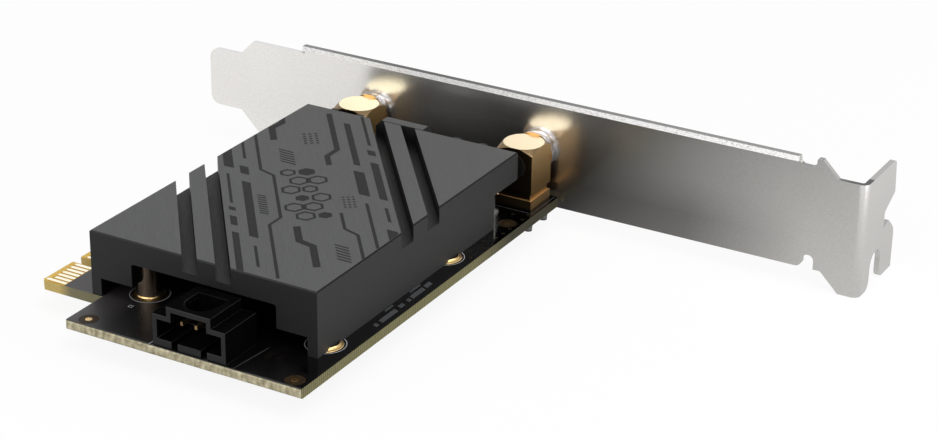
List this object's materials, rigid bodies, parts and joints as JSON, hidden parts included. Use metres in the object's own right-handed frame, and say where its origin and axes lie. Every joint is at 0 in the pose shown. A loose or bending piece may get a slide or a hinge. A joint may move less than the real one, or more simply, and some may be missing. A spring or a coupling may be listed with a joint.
{
  "type": "wireless network card",
  "caption": "Expansion card with a black finned heat sink, short edge tongue, power header, gold antenna jacks and a full height steel bracket.",
  "frame": {"origin": "middle of the key notch at the tip of the edge tongue, halfway through the board", "axes": "+X along the board towards the bracket, +Y out of the edge tongue into the slot, +Z out of the component side"},
  "size_m": [0.0904, 0.12, 0.0216],
  "materials": {
    "board_laminate": "black solder mask over glass laminate",
    "gold_plating": "gold plating, smooth",
    "black_anodised": "black anodised, fine brushed top",
    "brass": "turned brass",
    "screw_steel": "nickel plated",
    "module_laminate": "dark green solder mask",
    "tinned_steel": "tinned, satin",
    "thermal_pad": "soft, matt",
    "header_plastic": "moulded, fine grain",
    "bracket_steel": "nickel plated sheet, satin",
    "capacitor_body": "ceramic with tinned ends",
    "chip_black": "moulded epoxy",
    "inductor_core": "pressed iron powder",
    "white_insulator": "turned fluoropolymer",
    "cap_metal": "nickel plated"
  },
  "bodies": {
    "root": {"board": "board_laminate", "bracket": "bracket_steel", "capacitors": "capacitor_body", "coupling_capacitors": "capacitor_body", "crystal": "tinned_steel", "edge_contacts_component_side": "gold_plating", "edge_contacts_solder_side": "gold_plating", "header_pins": "gold_plating", "header_shroud": "header_plastic", "heat_sink": "black_anodised", "heat_sink_screws": "screw_steel", "jack_body_far": "gold_plating", "jack_body_near": "gold_plating", "jack_cap_far": "cap_metal", "jack_cap_near": "cap_metal", "jack_contact_far": "gold_plating", "jack_contact_near": "gold_plating", "jack_insulator_far": "white_insulator", "jack_insulator_near": "white_insulator", "jack_nut_far": "gold_plating", "jack_nut_near": "gold_plating", "jack_washer_far": "gold_plating", "jack_washer_near": "gold_plating", "power_inductor": "inductor_core", "radio_module_board": "module_laminate", "radio_module_shield": "tinned_steel", "resistors": "chip_black", "standoffs": "brass", "thermal_pad": "thermal_pad", "voltage_regulator": "chip_black"}
  },
  "joints": []
}
